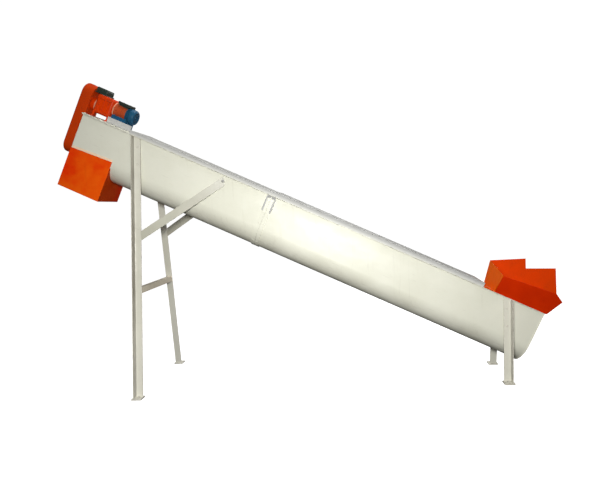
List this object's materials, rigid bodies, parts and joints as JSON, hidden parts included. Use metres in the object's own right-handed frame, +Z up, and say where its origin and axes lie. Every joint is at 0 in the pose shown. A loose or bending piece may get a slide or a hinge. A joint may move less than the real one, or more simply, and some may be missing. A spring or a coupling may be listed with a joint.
{
  "type": "inclined screw conveyor",
  "caption": "Inclined U-trough screw conveyor on a tall and a low frame, with a flared feed hopper, a discharge chute and a chain-driven gear motor at the head.",
  "frame": {"origin": "on the floor, under the middle of the conveyor's bounding box", "axes": "+X runs along the conveyor from the high discharge end to the low feed end, +Y away from the near side, +Z up"},
  "size_m": [4.4634, 1.065, 2.7581],
  "materials": {
    "cream_paint": "semi-gloss cream enamel",
    "orange_paint": "semi-gloss orange enamel",
    "blue_paint": "semi-gloss blue enamel",
    "dark_green_paint": "dark green enamel",
    "pale_flange_paint": "worn pale orange enamel",
    "bare_steel": "worn bare steel",
    "bearing_iron": "dark grey cast iron"
  },
  "bodies": {
    "root": {"trough_upper": "cream_paint", "trough_lower": "cream_paint", "joint_band_upper": "cream_paint", "joint_band_lower": "cream_paint", "head_end_plate": "cream_paint", "tail_end_plate": "cream_paint", "lid_upper": "cream_paint", "lid_lower": "cream_paint", "screw_shaft": "bare_steel", "screw_flight_head": "bare_steel", "screw_flight_middle": "bare_steel", "screw_flight_tail": "bare_steel", "head_bearing": "bearing_iron", "tail_bearing": "bearing_iron", "drive_base_plate": "cream_paint", "motor_tray": "cream_paint", "gear_unit_housing": "orange_paint", "gear_unit_cover": "dark_green_paint", "gear_output_flange": "pale_flange_paint", "motor_flange": "pale_flange_paint", "motor_adaptor": "orange_paint", "motor_frame": "blue_paint", "fan_cowl": "blue_paint", "motor_foot": "blue_paint", "terminal_box": "blue_paint", "chain_guard": "orange_paint", "chute_near_wall": "orange_paint", "chute_far_wall": "orange_paint", "chute_head_wall": "orange_paint", "chute_tail_wall": "orange_paint", "hopper_near_wall": "orange_paint", "hopper_far_wall": "orange_paint", "hopper_uphill_wall": "orange_paint", "hopper_downhill_wall": "orange_paint", "tall_leg_near": "cream_paint", "tall_leg_far": "cream_paint", "tall_foot_near": "cream_paint", "tall_foot_far": "cream_paint", "tall_cross_bar": "cream_paint", "brace_near": "cream_paint", "brace_far": "cream_paint", "low_leg_near": "cream_paint", "low_leg_far": "cream_paint", "low_foot_near": "cream_paint", "low_foot_far": "cream_paint"}
  },
  "joints": []
}
